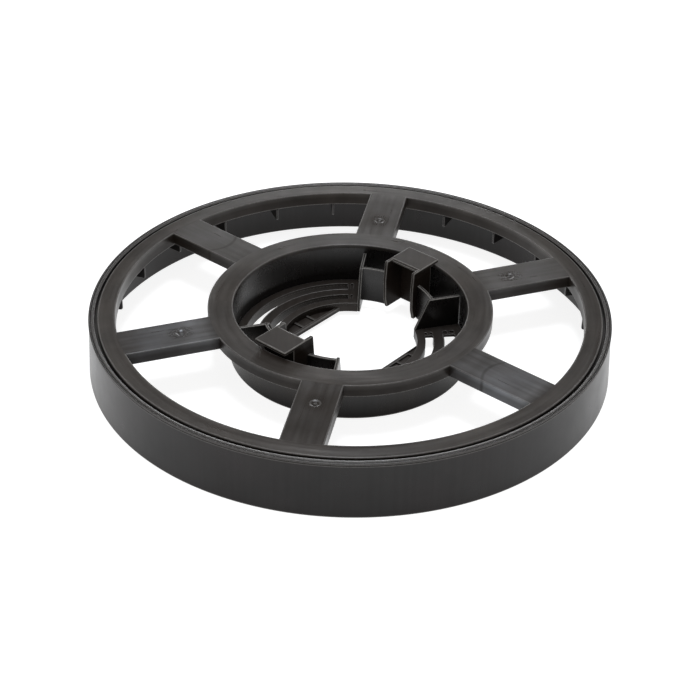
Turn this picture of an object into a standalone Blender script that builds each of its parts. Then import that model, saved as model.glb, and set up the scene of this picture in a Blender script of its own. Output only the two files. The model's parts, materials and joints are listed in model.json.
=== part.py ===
"""Splash-guard ring for a rotary scrubbing head, modelled as its moulded pieces.

Frame: metres, +Z up, origin on the floor plane at the ring's own axis.  The driving
dimensions below are in millimetres.  The object has a half-turn symmetry inside the hub:
everything marked "a" repeats as "b", turned by 180 degrees.
"""
from math import acos, asin, cos, degrees, pi, radians, sin

import bmesh
import bpy
from mathutils import Matrix, Vector

MM = 0.001
GAP = 0.3                     # clearance between touching pieces

# --- ring and skirt -------------------------------------------------------------
TOP_Z = 28.0                  # top face of the rim, spokes and collar
SKIRT_TOP_R = 125.05          # outer face of the skirt just under its bead
SKIRT_FOOT_R = 126.6          # outer face of the skirt at the floor, flared by draft
SKIRT_WALL = 1.5
BEAD_R = 125.3                # nose of the skirt's top bead
BEAD_FLOOR_Z = 26.3           # where the flat skirt face starts, under the bead
SEAT_R = 119.6                # inner edge of the flange that carries the rim
SEAT_THICK = 1.5
HOOP_INNER_R = 122.4
HOOP_OUTER_R = 124.1

# --- spoked top -----------------------------------------------------------------
PLATE = 2.0                   # thickness of the top plate
RIB = 1.75                    # thickness of the walls round each window
TRAY_DEPTH = 6.25             # depth of those walls
LIP_DEPTH = 6.9               # depth of the wall under the rim
FRAME_R = 121.0               # outer edge of the flat rim
RIM_INNER_R = 112.6
COLLAR_R = 68.8
BORE_R = 56.6
SPOKES = 6
FIRST_SPOKE_DEG = 20.0
SPOKE_WIDTH = 19.6
GATE_R = 83.75                # radius at which the moulding gates sit
GATE_SPOKES = (0, 1, 3, 4)    # spokes that carry a gate
GATE_DISH_R = 1.6
GATE_DISH_DEPTH = 0.6

# --- gussets under the rim --------------------------------------------------------
GUSSETS = 23
FIRST_GUSSET_DEG = 1.44
GUSSET_THICK = 1.1
GUSSET_INNER_R = 113.1
GUSSET_FOOT_Z = 14.0

# --- hub -------------------------------------------------------------------------
BARREL_OUTER_R = 58.8
HUB_FLOOR_Z = 2.4             # underside of the hub

# --- slotted floors ----------------------------------------------------------------
FLOOR_TOP_Z = 7.4
FLOOR_INNER_R = 33.1
WIDE_SLOT = (46.5, 52.1)
NARROW_SLOT = (37.2, 41.25)
SLOT_ENDS_DEG = (91.5, 187.0)
NEAR_RECESS_DEG = (88.5, 90.0)
FAR_RECESS_DEG = (187.6, 190.8)  # split in two by a rib that runs along the slot
RECESS_RIB = 1.2
RECESS_FLOOR_Z = 6.6
RELIEF_DEG = ((84.6, 90.6), (186.0, 195.2))  # thin end plates, hollow from below
RELIEF_R = (34.8, 54.8)
RELIEF_Z = 5.8
CHORD = 25.25                 # distance of the straight inner wall from the axis
CHORD_WALL = 1.75
CHORD_TOP_Z = 4.6
POCKET_FLOOR_Z = 3.6
POCKET_END = -12.3            # end of the pocket, measured along the straight wall
POCKET_RIBS = (-3.75, 5.0)
POCKET_RIB_THICK = 1.2

# --- guide walls --------------------------------------------------------------------
CATCH_AXIS_DEG = 50.0
GUIDE_ANGLE_DEG = 32.8        # radial walls stand this far either side of the catch
GUIDE_WALL = 1.5
GUIDE_TOP_Z = 23.6
GUIDE_FOOT_Z = 4.5
GUIDE_R = 41.2                # inner face of the curved walls beside the catches
WALL_TOP_R = 40.2             # sloping inner edge of the radial walls
WALL_FLOOR_R = 33.3

# --- catches ------------------------------------------------------------------------
CATCH_HALF = 9.4              # half width across the fins
FIN = 1.6
FIN_EDGE = ((38.3, 4.75), (36.9, 10.0), (36.5, 21.0), (37.4, 31.5))
FIN_FOOT_Z = 4.75
WEB_R = (49.4, 50.9)
PAD_R = (42.25, 56.9)         # thumb pad, reaching just over the collar
PAD_Z = (29.9, 31.5)
STRAP_HALF = 5.0
STRAP_Z = (5.75, 7.25)
STRAP_END_R = 55.9
CATCH_PIVOT = (54.0, 6.5)     # radius and height of the bending foot

SEGMENTS = 96
BLACK = (0.022, 0.021, 0.021, 1.0)


# --- general helpers ------------------------------------------------------------------
def clear_scene():
    for obj in list(bpy.data.objects):
        bpy.data.objects.remove(obj, do_unlink=True)


def plastic(name, roughness):
    material = bpy.data.materials.new(name)
    material.use_nodes = True
    shader = material.node_tree.nodes["Principled BSDF"]
    shader.inputs["Base Color"].default_value = BLACK
    shader.inputs["Roughness"].default_value = roughness
    shader.inputs["Metallic"].default_value = 0.0
    return material


def polar(radius, degrees_, z=0.0):
    angle = radians(degrees_)
    return Vector((radius * cos(angle), radius * sin(angle), z))


def arc(radius, start, end, steps):
    return [polar(radius, start + (end - start) * i / steps) for i in range(steps + 1)]


def object_from(bm, name, roughness=None, smooth_deg=30.0):
    bmesh.ops.recalc_face_normals(bm, faces=bm.faces)
    bmesh.ops.scale(bm, vec=(MM, MM, MM), verts=bm.verts)
    mesh = bpy.data.meshes.new(name)
    bm.to_mesh(mesh)
    bm.free()
    mesh.shade_smooth()
    mesh.set_sharp_from_angle(angle=radians(smooth_deg))
    obj = bpy.data.objects.new(name, mesh)
    bpy.context.scene.collection.objects.link(obj)
    if roughness is not None:
        mesh.materials.append(plastic(name, roughness))
    return obj


def turned(outline, segments=SEGMENTS):
    """A ring, from its closed outline of (radius, height) points."""
    bm = bmesh.new()
    verts = [bm.verts.new((r, 0.0, z)) for r, z in outline]
    edges = [bm.edges.new((verts[i - 1], verts[i])) for i in range(len(verts))]
    bmesh.ops.spin(bm, geom=verts + edges, axis=(0, 0, 1), cent=(0, 0, 0),
                   angle=2 * pi, steps=segments, use_merge=True)
    bmesh.ops.remove_doubles(bm, verts=bm.verts, dist=1e-4)
    return bm


def prism(outline, low, high):
    """A straight block from an outline in plan, between two heights."""
    bm = bmesh.new()
    face = bm.faces.new([bm.verts.new((p[0], p[1], low)) for p in outline])
    raised = bmesh.ops.extrude_face_region(bm, geom=[face])
    tops = [v for v in raised["geom"] if isinstance(v, bmesh.types.BMVert)]
    bmesh.ops.translate(bm, vec=(0, 0, high - low), verts=tops)
    return bm


def slab(outline, low, high):
    """A block from an outline of (radius, height) points, thick from low to high along +Y."""
    bm = bmesh.new()
    face = bm.faces.new([bm.verts.new((p[0], low, p[1])) for p in outline])
    raised = bmesh.ops.extrude_face_region(bm, geom=[face])
    tops = [v for v in raised["geom"] if isinstance(v, bmesh.types.BMVert)]
    bmesh.ops.translate(bm, vec=(0, high - low, 0), verts=tops)
    return bm


def turn(bm, degrees_):
    bmesh.ops.rotate(bm, cent=(0, 0, 0), matrix=Matrix.Rotation(radians(degrees_), 3, "Z"),
                     verts=bm.verts)
    return bm


def merge(pieces):
    """One mesh that holds several separate meshes."""
    together = bmesh.new()
    for piece in pieces:
        mesh = bpy.data.meshes.new("piece")
        piece.to_mesh(mesh)
        piece.free()
        together.from_mesh(mesh)
        bpy.data.meshes.remove(mesh)
    return together


def combine(target, bm, operation):
    """Cut the target with a hidden helper, or add the helper to it."""
    helper = object_from(bm, target.name + "_helper")
    helper.hide_render = True
    helper.display_type = "WIRE"
    modifier = target.modifiers.new(operation.lower(), "BOOLEAN")
    modifier.operation = operation
    modifier.solver = "EXACT"
    modifier.object = helper


# --- spoked top ---------------------------------------------------------------------------
def make_rim_ring():
    """Flat rim of the top, with the lip that hangs under its inner edge."""
    lip_foot = TOP_Z - LIP_DEPTH
    plate_foot = TOP_Z - PLATE
    lip_outer = RIM_INNER_R + RIB
    outline = [(RIM_INNER_R, TOP_Z), (RIM_INNER_R, lip_foot), (lip_outer, lip_foot),
               (lip_outer, plate_foot), (FRAME_R, plate_foot), (FRAME_R, TOP_Z)]
    return object_from(turned(outline), "rim_ring", 0.36)


def make_collar_ring():
    """Flat collar round the hub bore, with the wall that hangs under its outer edge."""
    wall_foot = TOP_Z - TRAY_DEPTH
    plate_foot = TOP_Z - PLATE
    wall_inner = COLLAR_R - RIB
    outline = [(BORE_R, TOP_Z), (BORE_R, plate_foot), (wall_inner, plate_foot),
               (wall_inner, wall_foot), (COLLAR_R, wall_foot), (COLLAR_R, TOP_Z)]
    return object_from(turned(outline), "collar_ring", 0.36)


def spoke_end(radius, half, steps=4):
    """Points across a spoke's end, on the circle that the end faces."""
    span = degrees(asin(half / radius))
    return arc(radius, -span, span, steps)


def make_spoke(index):
    """A bridge between collar and rim: a top plate with two side walls, hollow below."""
    half = SPOKE_WIDTH / 2
    wall_foot = TOP_Z - TRAY_DEPTH
    plate_foot = TOP_Z - PLATE
    angle = FIRST_SPOKE_DEG + 360.0 / SPOKES * index
    inner = spoke_end(COLLAR_R + GAP, half)
    outer = spoke_end(RIM_INNER_R - GAP, half)
    body = turn(prism(inner + outer[::-1], wall_foot, TOP_Z), angle)
    spoke = object_from(body, "spoke_%d" % (index + 1), 0.36)
    channel = [(COLLAR_R - 5, RIB - half), (RIM_INNER_R + 5, RIB - half),
               (RIM_INNER_R + 5, half - RIB), (COLLAR_R - 5, half - RIB)]
    combine(spoke, turn(prism(channel, wall_foot - 5, plate_foot), angle), "DIFFERENCE")
    if index in GATE_SPOKES:
        centre = Vector((GATE_R, 0.0, 0.0))
        rim = [centre + polar(GATE_DISH_R, 30.0 * k) for k in range(12)]
        dish = turn(prism(rim, TOP_Z - GATE_DISH_DEPTH, TOP_Z + 1), angle)
        combine(spoke, dish, "DIFFERENCE")
    return spoke


# --- skirt ------------------------------------------------------------------------------
def skirt_face_r(z):
    return SKIRT_FOOT_R + (SKIRT_TOP_R - SKIRT_FOOT_R) * z / BEAD_FLOOR_Z


def make_skirt_band():
    ledge = TOP_Z - PLATE - GAP
    rebate_r = HOOP_OUTER_R + GAP
    outline = [(SKIRT_FOOT_R, 0.0), (SKIRT_TOP_R, BEAD_FLOOR_Z), (SKIRT_TOP_R - 0.3, BEAD_FLOOR_Z + 0.5),
               (BEAD_R, BEAD_FLOOR_Z + 0.9), (BEAD_R, TOP_Z - 0.3), (BEAD_R - 0.3, TOP_Z - 0.05),
               (rebate_r + 0.2, TOP_Z - 0.05), (rebate_r, TOP_Z - 0.3), (rebate_r, ledge),
               (skirt_face_r(ledge) - SKIRT_WALL, ledge), (SKIRT_FOOT_R - SKIRT_WALL, 0.0)]
    return object_from(turned(outline), "skirt_band", 0.42)


def make_gusset_ring():
    """Seat ring that carries the rim, with the upright plates that stiffen it."""
    seat_top = TOP_Z - PLATE - GAP
    seat_foot = seat_top - SEAT_THICK
    wall = SKIRT_WALL + GAP
    seat_outer = skirt_face_r(seat_top) - wall
    seat = [(SEAT_R, seat_top), (SEAT_R, seat_foot), (seat_outer, seat_foot), (seat_outer, seat_top)]
    ring = object_from(turned(seat), "gusset_ring", 0.42)
    lip_outer = RIM_INNER_R + RIB + GAP
    lip_foot = TOP_Z - LIP_DEPTH - GAP
    inside = seat_foot + SEAT_THICK / 2
    outline = [(GUSSET_INNER_R, GUSSET_FOOT_Z), (GUSSET_INNER_R, lip_foot), (lip_outer, lip_foot),
               (lip_outer, inside), (seat_outer - 0.2, inside), (seat_outer - 0.2, seat_foot - 1.0),
               (skirt_face_r(GUSSET_FOOT_Z) - wall, GUSSET_FOOT_Z)]
    pitch = 360.0 / GUSSETS
    half = GUSSET_THICK / 2
    plates = [turn(slab(outline, -half, half), FIRST_GUSSET_DEG + pitch * i) for i in range(GUSSETS)]
    combine(ring, merge(plates), "UNION")
    return ring


def make_retaining_hoop():
    foot = TOP_Z - PLATE
    outline = [(HOOP_INNER_R, foot), (HOOP_INNER_R, TOP_Z - 0.5), (HOOP_INNER_R + 0.4, TOP_Z),
               (HOOP_OUTER_R - 0.5, TOP_Z), (HOOP_OUTER_R, TOP_Z - 0.5), (HOOP_OUTER_R, foot)]
    return object_from(turned(outline), "retaining_hoop", 0.4)


# --- hub --------------------------------------------------------------------------------
def make_hub_barrel():
    top = TOP_Z - PLATE - GAP
    outline = [(BORE_R, top), (BORE_R, HUB_FLOOR_Z), (BARREL_OUTER_R, HUB_FLOOR_Z),
               (BARREL_OUTER_R, top)]
    return object_from(turned(outline), "hub_barrel", 0.4)


def sector(inner, outer, start, end, steps=18):
    return arc(outer, start, end, steps) + arc(inner, end, start, steps)


def floor_outline():
    """Plan of one slotted floor, between two radial walls and a straight inner wall."""
    outer = BORE_R - GAP
    clear = GUIDE_WALL / 2 + GAP
    middle = CATCH_AXIS_DEG + 90.0
    reach = 90.0 - GUIDE_ANGLE_DEG
    outer_reach = reach - degrees(asin(clear / outer))
    inner_reach = reach - degrees(asin(clear / FLOOR_INNER_R))
    corner = degrees(acos(CHORD / FLOOR_INNER_R))
    return (arc(outer, middle - outer_reach, middle + outer_reach, 26)
            + arc(FLOOR_INNER_R, middle + inner_reach, middle + corner, 4)
            + arc(FLOOR_INNER_R, middle - corner, middle - inner_reach, 4))


def pocket_outline():
    """The sunk area behind the straight inner wall, in the floor's own plan."""
    near = CHORD + CHORD_WALL
    corner = acos(near / FLOOR_INNER_R)
    end = asin(-POCKET_END / FLOOR_INNER_R)
    across = [Vector((near, POCKET_END)), Vector((near, FLOOR_INNER_R * sin(corner)))]
    turns = 12
    edge = [Vector((FLOOR_INNER_R * cos(corner - (corner + end) * i / turns),
                    FLOOR_INNER_R * sin(corner - (corner + end) * i / turns)))
            for i in range(1, turns + 1)]
    return across + edge


def bar(near, far, centre, width, low, high):
    """A straight rib across the pocket, in the floor's own plan."""
    half = width / 2
    outline = [(near, centre - half), (far, centre - half), (far, centre + half), (near, centre + half)]
    return prism(outline, low, high)


def make_floor(name, turn_deg):
    floor = object_from(turn(prism(floor_outline(), HUB_FLOOR_Z, FLOOR_TOP_Z), turn_deg), name, 0.4)
    below = HUB_FLOOR_Z - 2
    above = FLOOR_TOP_Z + 2
    cuts = []
    for near, far in (WIDE_SLOT, NARROW_SLOT):
        middle = (near + far) / 2
        cuts.append(prism(sector(near, far, *SLOT_ENDS_DEG), below, above))
        cuts.append(prism(sector(near, far, *NEAR_RECESS_DEG, 2), RECESS_FLOOR_Z, above))
        for low, high in ((near, middle - RECESS_RIB / 2), (middle + RECESS_RIB / 2, far)):
            cuts.append(prism(sector(low, high, *FAR_RECESS_DEG, 2), RECESS_FLOOR_Z, above))
    combine(floor, turn(merge(cuts), turn_deg), "DIFFERENCE")
    hollows = [prism(sector(*RELIEF_R, *ends, 4), below, RELIEF_Z) for ends in RELIEF_DEG]
    combine(floor, turn(merge(hollows), turn_deg), "DIFFERENCE")

    # In the pocket's own plan +X points from the axis to the middle of the straight wall,
    # and +Y runs back along it, so the plan is mirrored and turned into place.
    middle = CATCH_AXIS_DEG + 90.0 + turn_deg
    sweep = acos(CHORD / FLOOR_INNER_R)
    steps = 14
    step_cut = [(CHORD - 3, FLOOR_INNER_R * sin(sweep) + 0.02)]
    step_cut += [(FLOOR_INNER_R * cos(sweep - 2 * sweep * i / steps),
                  FLOOR_INNER_R * sin(sweep - 2 * sweep * i / steps)) for i in range(steps + 1)]
    step_cut += [(CHORD - 3, -FLOOR_INNER_R * sin(sweep) - 0.02)]
    lowered = merge([prism(step_cut, CHORD_TOP_Z, above)])
    sunk = prism(pocket_outline(), POCKET_FLOOR_Z, CHORD_TOP_Z + 0.5)
    for bm in (lowered, sunk):
        bmesh.ops.scale(bm, vec=(1, -1, 1), verts=bm.verts)
    combine(floor, turn(lowered, middle), "DIFFERENCE")
    combine(floor, turn(sunk, middle), "DIFFERENCE")
    ribs = merge([bar(CHORD + CHORD_WALL / 2, FLOOR_INNER_R + 1, -u, POCKET_RIB_THICK,
                      HUB_FLOOR_Z + 0.5, CHORD_TOP_Z) for u in POCKET_RIBS])
    combine(floor, turn(ribs, middle), "UNION")
    return floor


# --- guide walls and catches, in a plan where +X is the catch's own direction --------------
def make_guide(name, axis_deg, side):
    """Radial wall with a sloping inner edge, and the curved wall from it to the catch."""
    clear = CATCH_HALF + GAP
    turns = 8
    outer = GUIDE_R + GUIDE_WALL
    curved = prism(arc(outer, degrees(asin(clear / outer)), GUIDE_ANGLE_DEG, turns)
                   + arc(GUIDE_R, GUIDE_ANGLE_DEG, degrees(asin(clear / GUIDE_R)), turns),
                   GUIDE_FOOT_Z, GUIDE_TOP_Z)
    wall = [(BORE_R - GAP, HUB_FLOOR_Z), (BORE_R - GAP, GUIDE_TOP_Z), (WALL_TOP_R, GUIDE_TOP_Z),
            (WALL_FLOOR_R, FLOOR_TOP_Z), (WALL_FLOOR_R, HUB_FLOOR_Z)]
    half = GUIDE_WALL / 2
    radial = turn(slab(wall, -half, half), GUIDE_ANGLE_DEG)
    for piece in (curved, radial):
        bmesh.ops.scale(piece, vec=(1, side, 1), verts=piece.verts)
    guide = object_from(turn(curved, axis_deg), name, 0.4)
    combine(guide, turn(radial, axis_deg), "UNION")
    return guide


def make_catch(name, axis_deg):
    """U-shaped post with a thumb pad, whose origin is on its bending foot."""
    web_in, web_out = WEB_R
    pad_in, pad_out = PAD_R
    pad_low, pad_high = PAD_Z
    inside = pad_low + (pad_high - pad_low) / 2
    fin = list(FIN_EDGE) + [(pad_in + 0.5, pad_high), (pad_in + 0.5, inside),
                            (web_out - 0.2, inside), (web_out - 0.2, FIN_FOOT_Z)]
    inner_face = CATCH_HALF - FIN
    web = [(web_in, FIN_FOOT_Z), (web_in, inside), (web_out, inside), (web_out, FIN_FOOT_Z)]
    pad = [(pad_in, pad_low), (pad_in, pad_high), (pad_out, pad_high), (pad_out, pad_low)]
    strap_low, strap_high = STRAP_Z
    strap = [(web_out - 0.5, strap_low), (web_out - 0.5, strap_high),
             (STRAP_END_R, strap_high), (STRAP_END_R, strap_low)]
    pivot = Vector((CATCH_PIVOT[0], 0.0, CATCH_PIVOT[1]))
    pieces = [slab(pad, -CATCH_HALF, CATCH_HALF), slab(fin, -CATCH_HALF, -inner_face),
              slab(fin, inner_face, CATCH_HALF), slab(web, -CATCH_HALF + 0.2, CATCH_HALF - 0.2),
              slab(strap, -STRAP_HALF, STRAP_HALF)]
    for piece in pieces:
        bmesh.ops.translate(piece, vec=-pivot, verts=piece.verts)
    catch = object_from(pieces[0], name, 0.38)
    for piece in pieces[1:]:
        combine(catch, piece, "UNION")
    place = polar(pivot.x, axis_deg, pivot.z) * MM
    for obj in [catch] + [m.object for m in catch.modifiers]:
        obj.location = place
        obj.rotation_euler = (0, 0, radians(axis_deg))
    return catch


def main():
    clear_scene()
    make_rim_ring()
    make_collar_ring()
    for index in range(SPOKES):
        make_spoke(index)
    make_skirt_band()
    make_gusset_ring()
    make_retaining_hoop()
    make_hub_barrel()
    for letter, turned_by in (("a", 0.0), ("b", 180.0)):
        axis = CATCH_AXIS_DEG + turned_by
        make_floor("slotted_floor_" + letter, turned_by)
        make_guide("guide_wall_" + letter + "_left", axis, 1)
        make_guide("guide_wall_" + letter + "_right", axis, -1)
        make_catch("catch_" + letter, axis)


main()
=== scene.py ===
"""Looks of the splash-guard ring: finely rounded moulded pieces, satin black plastic, studio."""
import json
import random
from math import acos, asin, atan2, cos, degrees, hypot, pi, radians, sin, sqrt

import bmesh
import bpy
from mathutils import Matrix, Vector
from mathutils.geometry import tessellate_polygon


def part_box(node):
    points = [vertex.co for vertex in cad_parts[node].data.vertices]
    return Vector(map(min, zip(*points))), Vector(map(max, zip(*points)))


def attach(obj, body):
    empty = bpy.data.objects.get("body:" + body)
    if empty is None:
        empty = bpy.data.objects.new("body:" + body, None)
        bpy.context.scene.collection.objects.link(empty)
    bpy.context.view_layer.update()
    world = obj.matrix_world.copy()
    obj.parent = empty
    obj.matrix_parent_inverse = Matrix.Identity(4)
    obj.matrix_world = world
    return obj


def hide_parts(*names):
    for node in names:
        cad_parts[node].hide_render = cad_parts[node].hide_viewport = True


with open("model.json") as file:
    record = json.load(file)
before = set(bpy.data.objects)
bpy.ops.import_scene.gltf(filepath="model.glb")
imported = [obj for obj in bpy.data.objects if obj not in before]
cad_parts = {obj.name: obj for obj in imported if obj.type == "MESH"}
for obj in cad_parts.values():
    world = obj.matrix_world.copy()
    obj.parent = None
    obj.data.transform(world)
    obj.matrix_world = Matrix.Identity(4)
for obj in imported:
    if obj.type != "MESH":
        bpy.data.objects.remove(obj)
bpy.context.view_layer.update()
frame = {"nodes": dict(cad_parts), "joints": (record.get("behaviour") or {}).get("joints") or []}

MM = 0.001
SEGMENTS = 288                # facets round every turned ring
EDGE = 0.35                   # usual radius on a moulded edge
GUARD = 0.45                  # flat strip kept beside a rounded edge
ARC_STEPS = 4                 # facets across a rounded edge
ROUNDED_SHARE = 0.45          # most of a side that one rounding may use
GUARD_SHARE = 0.4             # most of what is left that one guard strip may use
MITRE_LIMIT = 0.3             # keeps an inset sane at sharp corners
SHARP_DEG = 35.0              # faces that meet more steeply are not blended
CLEARANCE = 0.02              # sliver between faces that would otherwise coincide


# --- places, read from the frame, in millimetres -----------------------------------------
def cad_radii(node):
    """Smallest and largest distance of a node's corners from the ring's axis."""
    reach = [hypot(v.co.x, v.co.y) / MM for v in frame["nodes"][node].data.vertices]
    return min(reach), max(reach)


def cad_heights(node):
    low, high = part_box(node)
    return low.z / MM, high.z / MM


RIM_IN, RIM_OUT = cad_radii("rim_ring")
LIP_FOOT, TOP = cad_heights("rim_ring")
BORE, COLLAR = cad_radii("collar_ring")
TRAY_FOOT = cad_heights("collar_ring")[0]
BARREL_OUT = cad_radii("hub_barrel")[1]
HUB_FOOT = cad_heights("hub_barrel")[0]
SKIRT_FOOT_R = cad_radii("skirt_band")[1]
HOOP_IN, HOOP_OUT = cad_radii("retaining_hoop")
GUSSET_IN = cad_radii("gusset_ring")[0]
GUSSET_FOOT, SEAT_TOP = cad_heights("gusset_ring")
FLOOR_FOOT, FLOOR_TOP = cad_heights("slotted_floor_a")
FLOOR_OUT = cad_radii("slotted_floor_a")[1]
CATCH_FOOT, PAD_TOP = cad_heights("catch_a")
GUIDE_TOP = cad_heights("guide_wall_a_left")[1]
JOINTS = {joint["name"]: joint for joint in frame["joints"]}
CATCH_DEG = degrees(atan2(JOINTS["catch_a_flex"]["pos_m"][1], JOINTS["catch_a_flex"]["pos_m"][0]))

PLATE = 2.0                   # thickness of the top
RIB = 1.75                    # thickness of the walls under it
SPOKES = 6
SPOKE_PITCH = 360.0 / SPOKES
SPOKE_HALF = 9.8
FIRST_SPOKE_DEG = 20.0
GATE_R = 83.75
GATE_SPOKES = (1, 2, 4, 5)
WELD_R = 82.5


# --- outlines ------------------------------------------------------------------------------
def rounded(corners):
    """A closed outline of (x, y, share of wear and painted highlight) from corners (x, y, radius).

    Each corner becomes an arc marked for edge wear and a painted edge highlight, between two unmarked guard
    points.
    """
    points = []
    count = len(corners)
    for i in range(count):
        here = Vector(corners[i][:2])
        radius = corners[i][2]
        back = Vector(corners[i - 1][:2]) - here
        ahead = Vector(corners[(i + 1) % count][:2]) - here
        if radius <= 0:
            points.append((here.x, here.y, 0.0))
            continue
        u, w = back.normalized(), ahead.normalized()
        half = acos(max(-1.0, min(1.0, u.dot(w)))) / 2
        run = radius / max(1e-6, sin(half)) * cos(half)
        run = min(run, ROUNDED_SHARE * back.length, ROUNDED_SHARE * ahead.length)
        radius = run * sin(half) / cos(half)
        centre = here + (u + w).normalized() * (radius / sin(half))
        start, end = here + u * run, here + w * run
        guard_back = min(GUARD, GUARD_SHARE * (back.length - run))
        guard_ahead = min(GUARD, GUARD_SHARE * (ahead.length - run))
        points.append((*(start + u * guard_back), 0.0))
        a0 = atan2(start.y - centre.y, start.x - centre.x)
        a1 = atan2(end.y - centre.y, end.x - centre.x)
        sweep = (a1 - a0 + pi) % (2 * pi) - pi
        for k in range(ARC_STEPS + 1):
            a = a0 + sweep * k / ARC_STEPS
            points.append((centre.x + radius * cos(a), centre.y + radius * sin(a), 1.0))
        points.append((*(end + w * guard_ahead), 0.0))
    return points


def at(radius, angle_deg):
    """A point in plan, from its place about the axis."""
    a = radians(angle_deg)
    return Vector((radius * cos(a), radius * sin(a)))


def arc(radius, start_deg, end_deg, steps):
    return [at(radius, start_deg + (end_deg - start_deg) * i / steps) for i in range(steps + 1)]


def inset(loop, distance):
    """The loop moved to its left, which is into the material."""
    if distance == 0:
        return [p.copy() for p in loop]
    moved = []
    count = len(loop)
    for i in range(count):
        a = (loop[i] - loop[i - 1]).normalized()
        b = (loop[(i + 1) % count] - loop[i]).normalized()
        na, nb = Vector((-a.y, a.x)), Vector((-b.y, b.x))
        moved.append(loop[i] + (na + nb) * (distance / max(MITRE_LIMIT, 1 + na.dot(nb))))
    return moved


def plan_of(corners):
    """A plate's plan from corners (x, y, radius)."""
    return [Vector((x, y)) for x, y, _ in rounded(corners)]


def rectangle(x_low, x_high, y_low, y_high):
    corners = (x_low, y_low), (x_high, y_low), (x_high, y_high), (x_low, y_high)
    return [Vector(corner) for corner in corners]


def turn_by(angle_deg):
    """A turn about the ring's axis."""
    return Matrix.Rotation(radians(angle_deg), 4, "Z")


UPRIGHT = Matrix(((1, 0, 0, 0), (0, 0, -1, 0), (0, 1, 0, 0), (0, 0, 0, 1)))   # a plan's y becomes height


# --- closed shells -------------------------------------------------------------------------
class Shells:
    """Collects closed shells, each point with its share of edge wear and painted edge highlight, into one
    mesh.
    """

    def __init__(self):
        self.points = []
        self.wear_and_highlight = []
        self.faces = []

    def loop(self, points, wear_and_highlight, place=None):
        first = len(self.points)
        for p in points:
            p = Vector(p)
            self.points.append(place @ p if place else p)
        self.wear_and_highlight += wear_and_highlight if isinstance(wear_and_highlight, list) else [wear_and_highlight] * len(points)
        return list(range(first, len(self.points)))

    def bridge(self, a, b, closed=True):
        last = len(a) if closed else len(a) - 1
        for i in range(last):
            j = (i + 1) % len(a)
            self.faces.append((a[i], a[j], b[j], b[i]))

    def cap(self, loops, flat):
        """Fills between an outer loop and its holes; flat gives each point's place in the plane."""
        order = [index for ring in loops for index in ring]
        rings = [[Vector((*flat[index], 0.0)) for index in ring] for ring in loops]
        for triangle in tessellate_polygon(rings):
            if len(set(triangle)) == 3:
                self.faces.append(tuple(order[k] for k in triangle))

    def turned(self, corners):
        """A ring about the axis from (radius, height, rounding) corners."""
        rings = []
        for r, z, wear_and_highlight in rounded(corners):
            ring = [(r * cos(2 * pi * i / SEGMENTS), r * sin(2 * pi * i / SEGMENTS), z)
                    for i in range(SEGMENTS)]
            rings.append(self.loop(ring, wear_and_highlight))
        for i in range(len(rings)):
            self.bridge(rings[i - 1], rings[i])

    def plate(self, loops, low, high, place=None, edge=EDGE, foot_edge=None, narrow=4.0):
        """A flat plate: outer loop anticlockwise, holes clockwise, both faces' edges rounded.

        narrow is the plan's least width, which limits the guard strips.
        """
        foot_edge = edge if foot_edge is None else foot_edge
        guard = min(GUARD, (high - low - edge - foot_edge) / 4,
                    0.3 * narrow - 0.5 * max(edge, foot_edge))
        profile = [(foot_edge + guard, low, 0.0)]
        for k in range(ARC_STEPS + 1):
            a = pi / 2 * k / ARC_STEPS
            profile.append((foot_edge * (1 - sin(a)), low + foot_edge * (1 - cos(a)), 1.0))
        profile.append((0.0, low + foot_edge + guard, 0.0))
        profile.append((0.0, high - edge - guard, 0.0))
        for k in range(ARC_STEPS + 1):
            a = pi / 2 * k / ARC_STEPS
            profile.append((edge * (1 - cos(a)), high - edge * (1 - sin(a)), 1.0))
        profile.append((edge + guard, high, 0.0))
        flat = {}
        foot, crown = [], []
        for loop in loops:
            rows = []
            for depth, z, wear_and_highlight in profile:
                plan = inset(loop, depth)
                row = self.loop([(p.x, p.y, z) for p in plan], wear_and_highlight, place)
                flat.update(zip(row, [(p.x, p.y) for p in plan]))
                rows.append(row)
            for a, b in zip(rows, rows[1:]):
                self.bridge(a, b)
            foot.append(rows[0])
            crown.append(rows[-1])
        self.cap(foot, flat)
        self.cap(crown, flat)

    def swept(self, section, rail, stations, walls):
        """A section carried along stations 0..1 by rail(x, y, station), ends filled.

        Only the section's first points, as many as walls, are joined up; the rows are returned.
        """
        rows = []
        wear_and_highlight = [w for _, _, w in section]
        for station in stations:
            rows.append(self.loop([rail(x, y, station) for x, y, _ in section], wear_and_highlight))
        for a, b in zip(rows, rows[1:]):
            self.bridge(a[:walls], b[:walls], closed=False)
        for row in (rows[0], rows[-1]):
            self.cap([row], dict(zip(row, [(x, y) for x, y, _ in section])))
        return rows

    def piece(self, name, material, node, body="root", place=None):
        """The finished object, standing for its CAD node."""
        mesh = bpy.data.meshes.new(name)
        mesh.from_pydata([p * MM for p in self.points], [], self.faces)
        bm = bmesh.new()
        bm.from_mesh(mesh)
        bmesh.ops.recalc_face_normals(bm, faces=bm.faces)
        bm.to_mesh(mesh)
        bm.free()
        # per-point mask of edge wear and painted edge highlight, read by the materials
        attribute = mesh.attributes.new("wear_and_highlight", "FLOAT", "POINT")
        attribute.data.foreach_set("value", self.wear_and_highlight)
        mesh.shade_smooth()
        mesh.set_sharp_from_angle(angle=radians(SHARP_DEG))
        mesh.materials.append(material)
        obj = bpy.data.objects.new(name, mesh)
        bpy.context.scene.collection.objects.link(obj)
        if place:
            obj.matrix_world = place
        normals = obj.modifiers.new("even_flats", "WEIGHTED_NORMAL")
        normals.keep_sharp = True
        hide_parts(node)
        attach(obj, body)
        return obj


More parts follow.
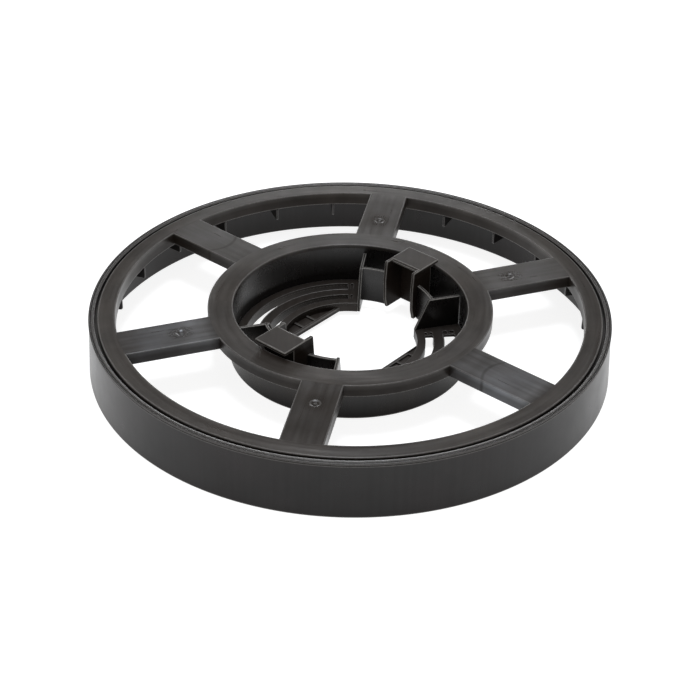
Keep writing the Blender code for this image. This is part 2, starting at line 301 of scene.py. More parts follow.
# --- materials -----------------------------------------------------------------------------
class Graph:
    """Short hand for building a node tree. Values are numbers, colours or sockets."""

    MIX_COLOURS, MIX_RESULT = (6, 7), 2       # the Mix node's colour sockets

    def __init__(self, material):
        self.tree = material.node_tree
        self.shader = self.tree.nodes["Principled BSDF"]

    def node(self, kind, **settings):
        node = self.tree.nodes.new(kind)
        for key, value in settings.items():
            setattr(node, key, value)
        return node

    def feed(self, value, socket):
        if isinstance(value, bpy.types.NodeSocket):
            self.tree.links.new(value, socket)
        else:
            socket.default_value = value

    def math(self, operation, *values, clamp=False):
        node = self.node("ShaderNodeMath", operation=operation, use_clamp=clamp)
        for value, socket in zip(values, node.inputs):
            self.feed(value, socket)
        return node.outputs[0]

    def plus(self, *values):
        total = values[0]
        for value in values[1:]:
            total = self.math("ADD", total, value)
        return total

    def minus(self, a, b):
        return self.math("SUBTRACT", a, b)

    def times(self, *values):
        product = values[0]
        for value in values[1:]:
            product = self.math("MULTIPLY", product, value)
        return product

    def split(self, vector):
        node = self.node("ShaderNodeSeparateXYZ")
        self.feed(vector, node.inputs[0])
        return tuple(node.outputs)

    def stretched(self, parts, scales):
        """A vector of three parts, each multiplied by its scale."""
        node = self.node("ShaderNodeCombineXYZ")
        for part, scale, socket in zip(parts, scales, node.inputs):
            self.feed(self.times(part, scale), socket)
        return node.outputs[0]

    def noise(self, vector, scale, detail, roughness=0.5):
        node = self.node("ShaderNodeTexNoise")
        for name, value in (("Vector", vector), ("Scale", scale), ("Detail", detail),
                            ("Roughness", roughness)):
            self.feed(value, node.inputs[name])
        return node.outputs["Fac"]

    def remap(self, value, low, high, out_low, out_high):
        node = self.node("ShaderNodeMapRange")
        for name, number in (("Value", value), ("From Min", low), ("From Max", high),
                             ("To Min", out_low), ("To Max", out_high)):
            self.feed(number, node.inputs[name])
        return node.outputs[0]

    def mix(self, factor, a, b):
        node = self.node("ShaderNodeMix", data_type="RGBA")
        self.feed(factor, node.inputs[0])
        for index, value in zip(self.MIX_COLOURS, (a, b)):
            self.feed(value, node.inputs[index])
        return node.outputs[self.MIX_RESULT]

    def between(self, radius, fade_in, fade_out):
        """1 between two bands of radius, which are in millimetres, and 0 beyond them."""
        return self.times(self.remap(radius, fade_in[0] * MM, fade_in[1] * MM, 0.0, 1.0),
                          self.remap(radius, fade_out[0] * MM, fade_out[1] * MM, 1.0, 0.0))

    def about_zero(self, noise, amount):
        return self.times(self.minus(noise, 0.5), amount)

    def about_one(self, noise, low, high, amount):
        """A factor that drifts round 1 as the noise goes from low to high."""
        return self.remap(noise, low, high, 1.0 - amount, 1.0 + amount)


ALONG_RING, ALONG_X, PLAIN = "ring", "spoke", "plain"
RING_LAY = 0.1                # metres of lay counted for a radian round the ring

# noise scales, per metre; the lay's are across it, along it and up
FINE_LAY = (2600.0, 60.0, 400.0)
BROAD_LAY = (420.0, 22.0, 0.0)
MOTTLE, GRAIN, SCUFF, FILM = 70.0, 3800.0, 900.0, 28.0
WELL_BRUSHED = 0.3            # a skin brushed more than this has dull specks and a coarser grain
BUMP_STRENGTH, BUMP_M = 0.22, 0.00006
DIMMED = 0.72                 # darkest patches of the colour, as a share of it
STEEP, LEVEL = 0.3, 0.9       # upward part of the normal on upright and on level faces

# bands of radius, in millimetres, over which an effect comes in from the hub and goes towards the rim
RING_CALM = ((64.0, 68.4), (113.0, 117.0))
SPOKE_PULL = ((69.0, 78.0), (103.0, 112.0))
SPOKE_SHINE = ((68.8, 73.0), (108.0, 112.8))
SHEEN_TURNS = (78.0, 88.0)    # where a spoke's sheen goes over from its collar end to its rim end
PULL = 0.8                    # strength of the anisotropy
QUARTER = 0.25                # turns from the ring's tangent to its radius

# marks of moulding: shares of roughness, of height and of lost gloss
HALO_MM, HALO_WAVES, HALO_SHARES = (4.5, 7.5), 5200.0, (-0.06, 0.12, 0.22)
WELD_MM, WELD_BOW, WELD_SHARES = (0.3, 1.2), 38.0, (0.10, -0.8, 0.35)


def lay_axes(g, lay, x, y):
    """Distance across the lay left by the tool, and along it, in metres."""
    if lay == ALONG_RING:
        reach = g.math("SQRT", g.plus(g.times(x, x), g.times(y, y)))
        return reach, g.times(g.math("ARCTAN2", y, x), RING_LAY)
    return (y, x) if lay == ALONG_X else (x, y)


def gate_mark(g, x, y):
    """Faint round halo, finely rippled, where the melt came in."""
    away = g.minus(x, GATE_R * MM)
    reach = g.math("SQRT", g.plus(g.times(away, away), g.times(y, y)))
    halo = g.minus(1.0, g.remap(reach, HALO_MM[0] * MM, HALO_MM[1] * MM, 0.0, 1.0))
    ripple = g.math("SINE", g.times(reach, HALO_WAVES))
    rough, height, lost = HALO_SHARES
    return g.times(halo, rough), g.times(halo, ripple, height), g.minus(1.0, g.times(halo, lost))


def weld_mark(g, x, y):
    """Bowed line across the spoke where two melt fronts met."""
    bow = g.minus(g.minus(x, WELD_R * MM), g.times(y, y, WELD_BOW))
    line = g.minus(1.0, g.remap(g.math("ABSOLUTE", bow), WELD_MM[0] * MM, WELD_MM[1] * MM, 0.0, 1.0))
    rough, height, lost = WELD_SHARES
    return g.times(line, rough), g.times(line, height), g.minus(1.0, g.times(line, lost))


def graded_gloss(g, z, gloss, heights):
    """Gloss between two heights, or from upright to level faces where there are none."""
    if heights:
        return g.remap(z, heights[0] * MM, heights[1] * MM, *gloss)
    upward = g.split(g.node("ShaderNodeNewGeometry").outputs["Normal"])[2]
    return g.remap(g.math("ABSOLUTE", upward), STEEP, LEVEL, *gloss)


def spread_sheen(g, lay, across, along):
    """The sheen spreads across the lay, except where spokes run into collar and rim."""
    if lay == ALONG_RING:
        tangent = g.node("ShaderNodeTangent", direction_type="RADIAL", axis="Z")
        g.shader.inputs["Anisotropic Rotation"].default_value = QUARTER
        pull = g.minus(1.0, g.between(across, *RING_CALM))
    else:
        tangent = g.node("ShaderNodeVectorTransform", vector_type="VECTOR",
                         convert_from="OBJECT", convert_to="WORLD")
        tangent.inputs[0].default_value = (0.0, 1.0, 0.0)
        pull = g.between(along, *SPOKE_PULL)
    g.feed(tangent.outputs[0], g.shader.inputs["Tangent"])
    g.feed(g.times(pull, PULL), g.shader.inputs["Anisotropic"])


def plastic(name, base, worn_and_highlighted, rough, brushed, gloss, tints, heights=None, lay=PLAIN, mark=None,
            sheen=(1.0, 1.0)):
    """Satin black moulding: lay left by the tool, mottled sheen, fine grain, edges paler with wear and a
    painted highlight.

    base colours its faces and the next colour its edges, paler for wear and a painted highlight; brushed
    says how clear the lay is.
    gloss is the strength of the sheen at the two heights, in millimetres, or on upright and
    level faces where no heights are given. tints are the colours its film drifts between.
    On a spoke, sheen scales the gloss at its collar end and at its rim end.
    """
    material = bpy.data.materials.new(name)
    material.use_nodes = True
    g = Graph(material)
    place = g.node("ShaderNodeTexCoord").outputs["Object"]
    x, y, z = g.split(place)
    across, along = lay_axes(g, lay, x, y)
    fine_lay = g.noise(g.stretched((across, along, z), FINE_LAY), 1.0, detail=3.0)
    broad_lay = g.noise(g.stretched((across, along, z), BROAD_LAY), 1.0, detail=2.0)
    mottle = g.noise(place, MOTTLE, detail=3.0, roughness=0.6)
    grain = g.noise(place, GRAIN, detail=1.0)
    scuff = g.noise(place, SCUFF, detail=4.0, roughness=0.7)
    film = g.noise(place, FILM, detail=2.0)
    # edge mask, mottled: edges paler for wear and a painted highlight, and a little rougher
    wear_and_highlight = g.times(g.node("ShaderNodeAttribute", attribute_name="wear_and_highlight").outputs["Fac"],
                   g.remap(scuff, 0.3, 0.7, 0.45, 1.0))
    mark_rough, mark_height, mark_gloss = mark(g, x, y) if mark else (0.0, 0.0, 1.0)
    speck_rough, grain_height = (0.12, 0.35) if brushed > WELL_BRUSHED else (0.01, 0.15)

    # roughness: streaks along the lay, cloudy patches and tiny dull specks
    level = g.plus(g.about_zero(broad_lay, 0.30 * brushed), g.about_zero(mottle, 0.14),
                   g.about_zero(fine_lay, 0.10 * brushed),
                   g.remap(scuff, 0.64, 0.72, 0.0, speck_rough), rough, mark_rough)
    g.feed(g.math("ADD", level, g.times(wear_and_highlight, 0.05), clamp=True), g.shader.inputs["Roughness"])

    # colour: patches a little darker, edges paler for wear and a painted highlight
    dimmed = tuple(value * DIMMED for value in base[:3]) + (1.0,)
    tone = g.mix(g.remap(mottle, 0.3, 0.7, 0.0, 1.0), base, dimmed)
    g.feed(g.mix(wear_and_highlight, tone, worn_and_highlighted), g.shader.inputs["Base Color"])

    # relief: the lay, the grain and the mark
    bump = g.node("ShaderNodeBump")
    bump.inputs["Strength"].default_value = BUMP_STRENGTH
    bump.inputs["Distance"].default_value = BUMP_M
    g.feed(g.plus(g.times(fine_lay, 0.7 * brushed), g.times(grain, grain_height), mark_height),
           bump.inputs["Height"])
    g.feed(bump.outputs[0], g.shader.inputs["Normal"])

    # sheen: graded, streaked along the lay, clouded by a film that also tints it
    streak = g.times(g.about_one(broad_lay, 0.3, 0.7, 0.26 * brushed),
                     g.about_one(mottle, 0.25, 0.75, -0.16 * brushed),
                     g.about_one(film, 0.36, 0.64, -0.18 * brushed))
    if lay == ALONG_X:
        ends = g.remap(along, SHEEN_TURNS[0] * MM, SHEEN_TURNS[1] * MM, sheen[0] - 1.0, sheen[1] - 1.0)
        streak = g.times(streak, g.plus(g.times(ends, g.between(along, *SPOKE_SHINE)), 1.0))
    strength = g.shader.inputs["Specular IOR Level"]
    # for a reader that drops the link
    strength.default_value = gloss[1]         # the socket's own value without its link: the higher gloss
    g.feed(g.times(graded_gloss(g, z, gloss, heights), streak, mark_gloss), strength)
    g.feed(g.mix(g.remap(film, 0.38, 0.62, 0.0, 1.0), *tints), g.shader.inputs["Specular Tint"])
    if lay != PLAIN:
        spread_sheen(g, lay, across, along)
    return material


BLACK = (0.0150, 0.0112, 0.0088, 1.0)
DEEP = (0.0078, 0.0067, 0.0064, 1.0)
# edge colours: paler than the faces for wear, and lighter still as a painted highlight on rounded edges
EDGE_GREY_WORN_AND_HIGHLIGHTED = (0.105, 0.100, 0.096, 1.0)
PALE_EDGE_WORN_AND_HIGHLIGHTED = (0.180, 0.172, 0.162, 1.0)
NEUTRAL = (1.0, 1.0, 1.0, 1.0)
WARM = (1.0, 0.94, 0.89, 1.0)
FAINT = (1.0, 0.98, 0.97, 1.0)
ROSY = (1.0, 0.955, 0.965, 1.0)
COOL = (0.92, 0.95, 1.0, 1.0)
BLUISH = (0.86, 0.91, 1.0, 1.0)

# every skin's edges take a paler colour, for wear and for a painted highlight
TOP_LOOK = dict(base=BLACK, worn_and_highlighted=EDGE_GREY_WORN_AND_HIGHLIGHTED, rough=0.34, brushed=1.0, gloss=(0.22, 0.5),
                heights=(TOP - 3.0, TOP - 0.6))
TOP_SKIN = plastic("rim_plastic", lay=ALONG_RING, tints=(WARM, FAINT), **TOP_LOOK)
SKIRT_SKIN = plastic("skirt_plastic_skin", DEEP, EDGE_GREY_WORN_AND_HIGHLIGHTED, rough=0.30, brushed=0.15,
                     gloss=(0.22, 0.33), heights=(0.0, TOP), tints=(ROSY, NEUTRAL))
HUB_SKIN = plastic("hub_plastic_skin", DEEP, PALE_EDGE_WORN_AND_HIGHLIGHTED, rough=0.28, brushed=0.15,
                   gloss=(0.06, 0.40), heights=(HUB_FOOT, HUB_FOOT + 14.0), tints=(WARM, NEUTRAL))
FLOOR_SKIN = plastic("slotted_floor_plastic", BLACK, EDGE_GREY_WORN_AND_HIGHLIGHTED, rough=0.36, brushed=0.4,
                     gloss=(0.20, 0.78), tints=(WARM, FAINT))
CATCH_SKIN = plastic("catch_plastic_skin", BLACK, PALE_EDGE_WORN_AND_HIGHLIGHTED, rough=0.34, brushed=0.4,
                     gloss=(0.05, 0.36), heights=(PAD_TOP - 4.5, PAD_TOP - 1.0), tints=(WARM, FAINT))

# spokes that catch more of the light at their collar end and rim end, and the bluer ones
SPOKE_SHEEN = {1: (1.30, 1.05), 4: (2.10, 1.25), 6: (1.60, 3.40)}
BLUER_SPOKES = (4, 6)


# --- spoked top ----------------------------------------------------------------------------
def spare_spokes(shells, edge_r, strip=1.2, margin=0.3):
    """Takes the edge wear and painted edge highlight off a ring's edge where a spoke runs on from it."""
    for i, p in enumerate(shells.points):
        reach = hypot(p.x, p.y)
        turn = degrees(atan2(p.y, p.x)) - FIRST_SPOKE_DEG + SPOKE_PITCH / 2
        aside = reach * sin(radians(turn % SPOKE_PITCH - SPOKE_PITCH / 2))
        if abs(reach - edge_r) < strip and abs(aside) < SPOKE_HALF - margin:
            shells.wear_and_highlight[i] = 0.0


def make_rim():
    """Flat outer ring of the top, with the wall under its inner edge."""
    shells = Shells()
    shells.turned([(RIM_OUT, TOP, 0.4), (RIM_OUT, TOP - PLATE, 0.2), (RIM_IN + RIB, TOP - PLATE, 0.7),
                   (RIM_IN + RIB, LIP_FOOT, 0.3), (RIM_IN, LIP_FOOT, 0.3), (RIM_IN, TOP, EDGE)])
    spare_spokes(shells, RIM_IN)
    shells.piece("rim_top", TOP_SKIN, "rim_ring")


def make_collar():
    """Flat inner ring of the top, with the wall under its outer edge."""
    shells = Shells()
    wall = COLLAR - RIB
    shells.turned([(COLLAR, TOP, EDGE), (COLLAR, TRAY_FOOT, 0.3), (wall, TRAY_FOOT, 0.3),
                   (wall, TOP - PLATE, 0.7), (BORE, TOP - PLATE, 0.0), (BORE, TOP, EDGE)])
    spare_spokes(shells, COLLAR)
    shells.piece("hub_collar", TOP_SKIN, "collar_ring")


# the dish of a gate scar as (radius, depth, share of wear and painted highlight), and the sprue's stump in
# it as (radius, depth)
GATE_DISH = ((3.3, 0.0, 0.0), (2.75, 0.0, 0.0), (2.6, 0.02, 0.6), (2.4, 0.12, 0.8),
             (1.9, 0.42, 0.3), (1.55, 0.5, 0.0), (1.0, 0.5, 0.0))
GATE_STUMP = ((0.8, 0.3), (0.62, 0.1), (0.3, 0.02))
GATE_STEPS = 28
# the stump's share of wear and painted highlight, which makes it paler
STUMP_WEAR_AND_HIGHLIGHT = 0.7
FIRST_GATE_SEED = 40


def gate_scar(shells, rng):
    """Sloped dish with the ragged stump of the sprue in it; returns the dish's open edge."""
    rows, places = [], {}
    for reach, depth, wear_and_highlight in GATE_DISH:
        ring = []
        for k in range(GATE_STEPS):
            turn = 2 * pi * k / GATE_STEPS
            ring.append((GATE_R + reach * cos(turn), reach * sin(turn), TOP - depth))
        rows.append(shells.loop(ring, wear_and_highlight))
        places.update(zip(rows[-1], [(x, y) for x, y, _ in ring]))
    for reach, depth in GATE_STUMP:
        ring = []
        for k in range(GATE_STEPS):
            torn = reach * (1 + rng.uniform(-0.22, 0.22))
            turn = 2 * pi * k / GATE_STEPS
            ring.append((GATE_R + 0.15 + torn * cos(turn), torn * sin(turn) - 0.1,
                         TOP - depth - rng.uniform(0.0, 0.16)))
        rows.append(shells.loop(ring, STUMP_WEAR_AND_HIGHLIGHT))
        places.update(zip(rows[-1], [(x, y) for x, y, _ in ring]))
    for low, high in zip(rows, rows[1:]):
        shells.bridge(low, high)
    shells.cap([rows[-1]], places)
    return rows[0], places


TOP_STEPS = 12                # steps across a spoke's curved ends


def make_spoke(number):
    """An upturned tray between collar and rim, its top flush with both."""
    half, inner = SPOKE_HALF, SPOKE_HALF - RIB
    section = rounded([(-half, TOP, EDGE), (-half, TRAY_FOOT, 0.3), (-inner, TRAY_FOOT, 0.3),
                       (-inner, TOP - PLATE, 0.7), (inner, TOP - PLATE, 0.7), (inner, TRAY_FOOT, 0.3),
                       (half, TRAY_FOOT, 0.3), (half, TOP, EDGE)])
    walls = len(section)
    edge = section[-1][0]
    section += [(edge * (1 - 2 * k / TOP_STEPS), TOP, 0.0) for k in range(1, TOP_STEPS)]
    start, end = COLLAR - EDGE, RIM_IN + EDGE

    def rail(across, height, station):
        low, high = sqrt(start ** 2 - across ** 2), sqrt(end ** 2 - across ** 2)
        return (low + (high - low) * station, across, height)

    shells = Shells()
    near, far = shells.swept(section, rail, (0.0, 1.0), walls)
    top = [near[0]] + near[:walls - 2:-1] + far[walls - 1:] + [far[0]]
    places = {index: tuple(shells.points[index])[:2] for index in top}
    gated = number in GATE_SPOKES
    if gated:
        dish_edge, dish_places = gate_scar(shells, random.Random(FIRST_GATE_SEED + number))
        places.update(dish_places)
        shells.cap([top, dish_edge], places)
    else:
        shells.faces.append(tuple(top))
    skin = plastic("spoke_plastic_%d" % number, lay=ALONG_X, mark=gate_mark if gated else weld_mark,
                   tints=(BLUISH, COOL) if number in BLUER_SPOKES else (COOL, FAINT),
                   sheen=SPOKE_SHEEN.get(number, (1.0, 1.0)), **TOP_LOOK)
    shells.piece("spoke_top_%d" % number, skin, "spoke_%d" % number,
                 place=turn_by(FIRST_SPOKE_DEG + SPOKE_PITCH * (number - 1)))


# --- skirt ---------------------------------------------------------------------------------
SKIRT_WALL = 1.5
BEAD_FLOOR = TOP - 1.7        # where the flat face of the skirt ends, under the bead
SKIRT_TOP_R = SKIRT_FOOT_R - 1.55
REBATE_R = HOOP_OUT + 0.3     # the skirt's inner face beside the hoop


def skirt_r(z):
    """Outer radius of the drafted skirt at a height."""
    return SKIRT_FOOT_R + (SKIRT_TOP_R - SKIRT_FOOT_R) * z / BEAD_FLOOR


def make_skirt():
    """Drafted outer wall with the bead along its top."""
    shells = Shells()
    top = TOP - 0.05
    nose = SKIRT_TOP_R + 0.25
    shells.turned([(SKIRT_FOOT_R, 0.0, 0.35), (SKIRT_FOOT_R - SKIRT_WALL, 0.0, 0.35),
                   (skirt_r(SEAT_TOP) - SKIRT_WALL, SEAT_TOP, 0.2), (REBATE_R, SEAT_TOP, 0.1),
                   (REBATE_R, top, 0.3), (nose, top, 0.4), (nose, BEAD_FLOOR + 0.85, 0.3),
                   (SKIRT_TOP_R - 0.35, BEAD_FLOOR + 0.5, 0.12), (SKIRT_TOP_R, BEAD_FLOOR, 0.25)])
    shells.piece("skirt_wall", SKIRT_SKIN, "skirt_band")


def make_hoop():
    """Thin round bead between rim and skirt."""
    shells = Shells()
    foot = TOP - PLATE
    shells.turned([(HOOP_IN, foot, 0.15), (HOOP_IN, TOP - 0.25, 0.45), (HOOP_IN + 1.05, TOP, 0.3),
                   (HOOP_OUT, TOP - 0.1, 0.4), (HOOP_OUT, foot, 0.15)])
    shells.piece("rim_hoop", SKIRT_SKIN, "retaining_hoop")


GUSSETS = 23
FIRST_GUSSET_DEG = 1.44
GUSSET_HALF = 0.55
SEAT_IN = 119.6
SEAT_FOOT = SEAT_TOP - 1.5


def make_gussets():
    """Seat ring under the rim, and the gussets that hold it to the skirt."""
    shells = Shells()
    wall = SKIRT_WALL + CLEARANCE
    seat_out = skirt_r(SEAT_TOP) - wall
    shells.turned([(seat_out, SEAT_TOP, 0.2), (seat_out, SEAT_FOOT, 0.2),
                   (SEAT_IN, SEAT_FOOT, 0.3), (SEAT_IN, SEAT_TOP, 0.3)])
    lip_foot = LIP_FOOT - 0.3
    behind_lip = RIM_IN + RIB + 0.3
    top = SEAT_FOOT + 0.3
    plan = plan_of([(GUSSET_IN, GUSSET_FOOT, 1.0), (skirt_r(GUSSET_FOOT) - wall, GUSSET_FOOT, 0.3),
                    (skirt_r(SEAT_FOOT) - wall, top, 0.1), (SEAT_IN + 0.5, top, 0.1),
                    (behind_lip, top, 0.3), (behind_lip, lip_foot, 0.1), (GUSSET_IN, lip_foot, 0.3)])
    for i in range(GUSSETS):
        stand = turn_by(FIRST_GUSSET_DEG + 360.0 / GUSSETS * i) @ UPRIGHT
        shells.plate([plan], -GUSSET_HALF, GUSSET_HALF, place=stand, edge=0.2)
    shells.piece("rim_gussets", SKIRT_SKIN, "gusset_ring")


# --- hub -----------------------------------------------------------------------------------
def make_barrel():
    """Deep round wall of the hub."""
    shells = Shells()
    top = TOP - PLATE
    shells.turned([(BORE, top, 0.0), (BORE, HUB_FOOT, 0.4), (BARREL_OUT, HUB_FOOT, 0.4),
                   (BARREL_OUT, top - 0.3, 0.0)])
    shells.piece("hub_wall", HUB_SKIN, "hub_barrel")


# slotted floor
FLOOR_IN = 33.1
SLOTS = ((46.5, 52.1), (37.2, 41.25))         # inner and outer radius of the two slots
SLOT_DEG = (91.5, 187.0)
SLOT_STEPS = 48
SLOT_CORNER = 0.5
NEAR_RECESS_DEG = (88.5, 90.0)
FAR_RECESS_DEG = (187.6, 190.8)
RECESS_RIB = 1.2              # rib along the slot that splits the far recess
RELIEF_DEG = ((84.6, 90.6), (186.0, 195.2))   # where its two ends are only a thin plate
RELIEF_R = (34.8, 54.8)
RELIEF_Z = 5.8                # underside of that plate
LAP = 0.3                     # how far hidden walls run into their neighbours
KERB_R = (45.75, 46.35)
CHORD = 25.25                 # distance of the straight inner wall from the axis
CHORD_WALL = 1.75
CHORD_TOP = 4.6
POCKET_FLOOR = 3.6
POCKET_END = -12.3            # places along the straight wall, from its middle
POCKET_RIBS = (-3.75, 5.0)
POCKET_RIB_HALF = 0.6

# guide walls
GUIDE_DEG = 32.8              # from the catch to the radial wall
GUIDE_WALL = 1.5
GUIDE_FOOT = 4.5
GUIDE_IN = 41.2
WALL_TOP_R = 40.2             # its sloping inner edge runs from here
WALL_FLOOR_R = 33.3           # down to here

# catches
CATCH_HALF = 9.4
FIN = 1.6
WEB_R = (49.4, 50.9)
PAD_R = (42.25, 56.9)
PAD_LOW = PAD_TOP - 1.6
STRAP_R, STRAP_HALF = 55.9, 5.0
STRAP_HEIGHTS = (5.75, 7.25)


def hole(inner, outer, start, end, steps):
    """A curved slot, clockwise, its corners cut slightly."""
    outer_turn = degrees(SLOT_CORNER / outer)
    inner_turn = degrees(SLOT_CORNER / inner)
    loop = arc(outer, start + outer_turn, end - outer_turn, steps)
    loop += [at(outer - SLOT_CORNER, end), at(inner + SLOT_CORNER, end)]
    loop += arc(inner, end - inner_turn, start + inner_turn, steps)
    loop += [at(inner + SLOT_CORNER, start), at(outer - SLOT_CORNER, start)]
    return loop[::-1]


def band(inner, outer, start, end, steps=4):
    """A curved strip, anticlockwise."""
    return arc(outer, start, end, steps) + arc(inner, end, start, steps)


def floor_top(shells, turn, outer):
    """The floor's upper part, open at the slots and over the recesses, and the recesses' bottoms."""
    openings = [hole(*slot, *SLOT_DEG, SLOT_STEPS) for slot in SLOTS]
    for near, far in SLOTS:
        between = (near + far) / 2
        openings.append(hole(near, far, *NEAR_RECESS_DEG, 2))
        openings.append(hole(near, between - RECESS_RIB / 2, *FAR_RECESS_DEG, 3))
        openings.append(hole(between + RECESS_RIB / 2, far, *FAR_RECESS_DEG, 3))
    shells.plate([outer] + openings, RELIEF_Z, FLOOR_TOP, place=turn, edge=0.12, foot_edge=0.1,
                 narrow=0.42)
    for start, end in (NEAR_RECESS_DEG, FAR_RECESS_DEG):
        for near, far in SLOTS:
            bottom = band(near - LAP, far + LAP, start - 0.4, end + 0.6)
            shells.plate([bottom], RELIEF_Z + CLEARANCE, RELIEF_Z + 0.8, place=turn, edge=0.1,
                         narrow=1.0)


def floor_depth(shells, turn, outer):
    """The rings' full depth below, with the thin end plates left hollow."""
    (near_in, near_out), (far_in, far_out) = RELIEF_DEG
    (wide_in, wide_out), (narrow_in, narrow_out) = SLOTS
    relief_in, relief_out = RELIEF_R
    hollow = (arc(wide_out, near_out, far_in, SLOT_STEPS) + arc(relief_out, far_in, far_out, 6)
              + arc(relief_in, far_out, far_in, 6) + arc(narrow_in, far_in, near_out, SLOT_STEPS)
              + arc(relief_in, near_out, near_in, 6) + arc(relief_out, near_in, near_out, 6))
    ring = band(narrow_out, wide_in, near_out, far_in, SLOT_STEPS)
    wall = band(relief_in - LAP, relief_out + LAP, near_out + 0.05, SLOT_DEG[0] - 0.05)
    for loops, narrow in (([outer, hollow[::-1]], 1.5), ([ring], 1.5), ([wall], 0.45)):
        shells.plate(loops, FLOOR_FOOT, RELIEF_Z + 0.6, place=turn, edge=0.1, foot_edge=0.1,
                     narrow=narrow)


def floor_pocket(shells, side):
    """Sunk, ribbed pocket behind the straight inner wall; side has +X at the wall's middle."""
    reach = FLOOR_IN + 0.4
    swing = degrees(acos(CHORD / reach))
    shells.plate([arc(reach, -swing, swing, 36)], FLOOR_FOOT + 0.05, POCKET_FLOOR, place=side, edge=0.1)
    half = sqrt(reach ** 2 - CHORD ** 2)
    shells.plate([rectangle(CHORD, CHORD + CHORD_WALL, -half, half)], FLOOR_FOOT, CHORD_TOP,
                 place=side, edge=0.3, narrow=CHORD_WALL)
    for centre in POCKET_RIBS:
        bar = rectangle(CHORD + 1, FLOOR_IN + 0.6, -centre - POCKET_RIB_HALF, -centre + POCKET_RIB_HALF)
        shells.plate([bar], FLOOR_FOOT + 0.6, CHORD_TOP - 0.1, place=side, edge=0.25,
                     narrow=2 * POCKET_RIB_HALF)
    shut = degrees(asin(-POCKET_END / FLOOR_IN))
    block = ([Vector((CHORD + 0.5, half - 0.3)), Vector((CHORD + 0.5, -POCKET_END))]
             + arc(reach, shut, swing - 1.0, 8))
    shells.plate([block], FLOOR_FOOT + 0.1, CHORD_TOP, place=side, edge=0.2)


def make_floor(letter, turn_deg):
    """Slotted floor sector between the guide walls of the two catches."""
    middle = CATCH_DEG + 90.0
    reach = 90.0 - GUIDE_DEG
    clear = GUIDE_WALL / 2 + CLEARANCE
    out_reach = reach - degrees(asin(clear / FLOOR_OUT))
    in_reach = reach - degrees(asin(clear / FLOOR_IN))
    outer = (arc(FLOOR_OUT, middle - out_reach, middle + out_reach, 60)
             + arc(FLOOR_IN, middle + in_reach, middle - in_reach, 44))
    turn = turn_by(turn_deg)
    shells = Shells()
    floor_top(shells, turn, outer)
    floor_depth(shells, turn, outer)
    # low kerb along the outer edge of the middle ring
    shells.plate([band(*KERB_R, *SLOT_DEG, SLOT_STEPS)], FLOOR_TOP - 0.8, FLOOR_TOP + 0.35, place=turn,
                 edge=0.2, narrow=0.6)
    floor_pocket(shells, turn @ turn_by(middle))
    shells.piece("slotted_floor_skin_" + letter, FLOOR_SKIN, "slotted_floor_" + letter)


def make_guide(letter, hand, axis_deg, side):
    """Radial wall with a sloping inner edge, and the curved wall from it to the catch."""
    clear = CATCH_HALF + 0.3
    turn = turn_by(axis_deg) @ Matrix.Diagonal((1, side, 1, 1))
    shells = Shells()
    curved_out = GUIDE_IN + GUIDE_WALL
    plan = (arc(curved_out, degrees(asin(clear / curved_out)), GUIDE_DEG, 16)
            + arc(GUIDE_IN, GUIDE_DEG, degrees(asin(clear / GUIDE_IN)), 16))
    shells.plate([plan], GUIDE_FOOT, GUIDE_TOP, place=turn, edge=0.3, narrow=GUIDE_WALL)
    plan = plan_of([(WALL_FLOOR_R, HUB_FOOT, 0.2), (FLOOR_OUT, HUB_FOOT, 0.1),
                    (FLOOR_OUT, GUIDE_TOP, 0.1), (WALL_TOP_R, GUIDE_TOP, 0.5),
                    (WALL_FLOOR_R, FLOOR_TOP, 0.4)])
    shells.plate([plan], -GUIDE_WALL / 2, GUIDE_WALL / 2, place=turn @ turn_by(GUIDE_DEG) @ UPRIGHT,
                 edge=0.3)
    shells.piece("guide_%s_%s" % (letter, hand), HUB_SKIN, "guide_wall_%s_%s" % (letter, hand))


def make_catch(letter, axis_deg):
    """U-shaped post: two fins and a web under a thumb pad, on a thin bending strap."""
    half = CATCH_HALF
    web_in, web_out = WEB_R
    pad_in, pad_out = PAD_R
    turn = turn_by(axis_deg)
    shells = Shells()
    under_pad, fin_top, step = PAD_LOW + 0.8, PAD_TOP - 0.05, pad_in + 0.6
    fin = plan_of([(38.3, CATCH_FOOT, 0.5), (web_out, CATCH_FOOT, 0.3), (web_out, under_pad, 0.1),
                   (step, under_pad, 0.1), (step, fin_top, 0.1), (37.4, fin_top, 0.5),
                   (36.5, 21.0, 12.0), (36.9, 10.0, 6.0)])
    for low in (-half, half - FIN):
        shells.plate([fin], low, low + FIN, place=turn @ UPRIGHT, edge=0.3)
    web = rectangle(web_in, web_out, 0.3 - half, half - 0.3)
    shells.plate([web], CATCH_FOOT, under_pad, place=turn, edge=0.3, narrow=web_out - web_in)
    pad = plan_of([(pad_in, -half, 0.3), (pad_out, -half, 0.5), (pad_out, half, 0.5), (pad_in, half, 0.3)])
    shells.plate([pad], PAD_LOW, PAD_TOP, place=turn, edge=0.4, foot_edge=0.25)
    ledge = rectangle(pad_in - 0.85, pad_in + 1.2, FIN - half - 0.2, half - FIN + 0.2)
    shells.plate([ledge], PAD_LOW + 0.05, PAD_TOP - 0.65, place=turn, edge=0.2, narrow=2.0)
    strap = rectangle(web_out - 0.5, STRAP_R, -STRAP_HALF, STRAP_HALF)
    shells.plate([strap], *STRAP_HEIGHTS, place=turn, edge=0.3)
    shells.piece("catch_post_" + letter, CATCH_SKIN, "catch_" + letter,
                 body="catch_%s_body" % letter)


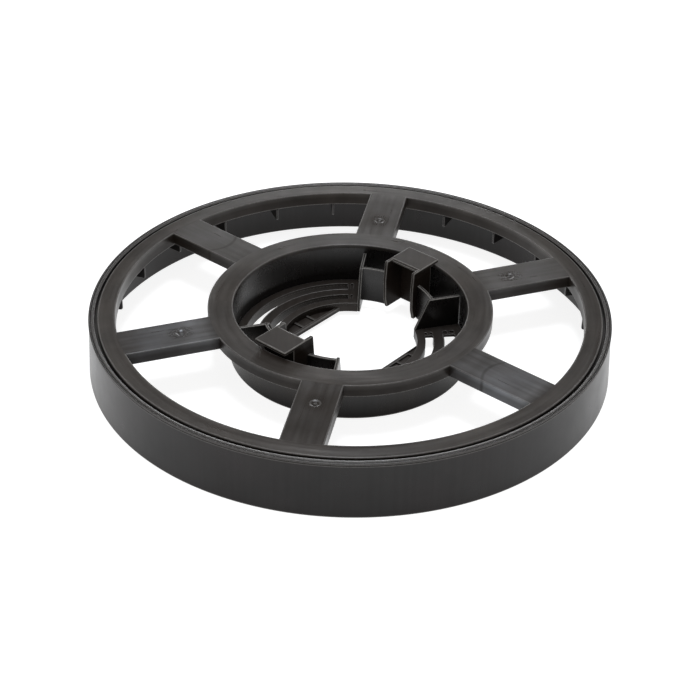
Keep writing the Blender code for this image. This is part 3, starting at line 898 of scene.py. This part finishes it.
# --- studio --------------------------------------------------------------------------------
def make_floor_plane():
    """Large pale plane that glows a little, with a very slight powdery tone."""
    material = bpy.data.materials.new("studio_floor")
    material.use_nodes = True
    g = Graph(material)
    cloud = g.noise(g.node("ShaderNodeTexCoord").outputs["Object"], 6.0, detail=4.0)
    tone = g.mix(cloud, (0.41, 0.41, 0.41, 1.0), (0.43, 0.43, 0.43, 1.0))
    g.feed(tone, g.shader.inputs["Base Color"])
    g.feed(tone, g.shader.inputs["Emission Color"])
    g.shader.inputs["Emission Strength"].default_value = 2.05
    g.shader.inputs["Roughness"].default_value = 0.9
    g.shader.inputs["Specular IOR Level"].default_value = 0.1
    mesh = bpy.data.meshes.new("studio_floor")
    half = 12.0
    mesh.from_pydata([corner.to_3d() for corner in rectangle(-half, half, -half, half)], [], [(0, 1, 2, 3)])
    mesh.materials.append(material)
    floor = bpy.data.objects.new("studio_floor", mesh)
    bpy.context.scene.collection.objects.link(floor)


def soft_box(name, place, width, height, watts, tint):
    """A rectangular lamp that faces the middle of the ring."""
    light = bpy.data.lights.new(name, "AREA")
    light.shape = "RECTANGLE"
    light.size = width
    light.size_y = height
    light.energy = watts
    light.color = tint
    obj = bpy.data.objects.new(name, light)
    obj.location = place
    obj.rotation_euler = (Vector((0, 0, 0)) - Vector(place)).to_track_quat("-Z", "Y").to_euler()
    bpy.context.scene.collection.objects.link(obj)


def make_studio():
    make_floor_plane()
    world = bpy.data.worlds.new("studio")
    bpy.context.scene.world = world
    world.use_nodes = True
    back = world.node_tree.nodes["Background"]
    back.inputs["Color"].default_value = (1.0, 0.98, 0.96, 1.0)
    back.inputs["Strength"].default_value = 0.48
    soft_box("top_softbox", (0.0, 0.1, 1.8), width=0.6, height=0.6, watts=21.0, tint=(0.91, 0.95, 1.0))
    soft_box("rear_softbox", (0.0, 2.0, 0.42), width=0.9, height=0.25, watts=5.5, tint=(0.96, 0.98, 1.0))


def make_camera():
    """Looks down at the ring from the front, rolled a little off level."""
    tilt = radians(33.91)
    roll = radians(1.14)
    distance = 0.74335
    aside, below = 0.00023, 0.0225            # of the aim, from the middle of the ring's top
    camera = bpy.data.cameras.new("camera")
    camera.sensor_width = 36.0
    camera.lens = 79.20
    camera.clip_end = 60.0
    obj = bpy.data.objects.new("camera", camera)
    up = Vector((0, sin(tilt), cos(tilt)))
    aim = Vector((aside, 0, TOP * MM)) - up * below
    obj.location = aim + Vector((0, -cos(tilt), sin(tilt))) * distance
    obj.rotation_euler = (Matrix.Rotation(pi / 2 - tilt, 3, "X") @ Matrix.Rotation(roll, 3, "Z")).to_euler()
    bpy.context.scene.collection.objects.link(obj)
    bpy.context.scene.camera = obj


make_rim()
make_collar()
for spoke in range(1, SPOKES + 1):
    make_spoke(spoke)
make_skirt()
make_hoop()
make_gussets()
make_barrel()
for which, half_turn in (("a", 0.0), ("b", 180.0)):
    make_floor(which, half_turn)
    make_guide(which, "left", CATCH_DEG + half_turn, 1)
    make_guide(which, "right", CATCH_DEG + half_turn, -1)
    make_catch(which, CATCH_DEG + half_turn)
make_studio()
make_camera()
bpy.context.scene.view_settings.view_transform = "Standard"
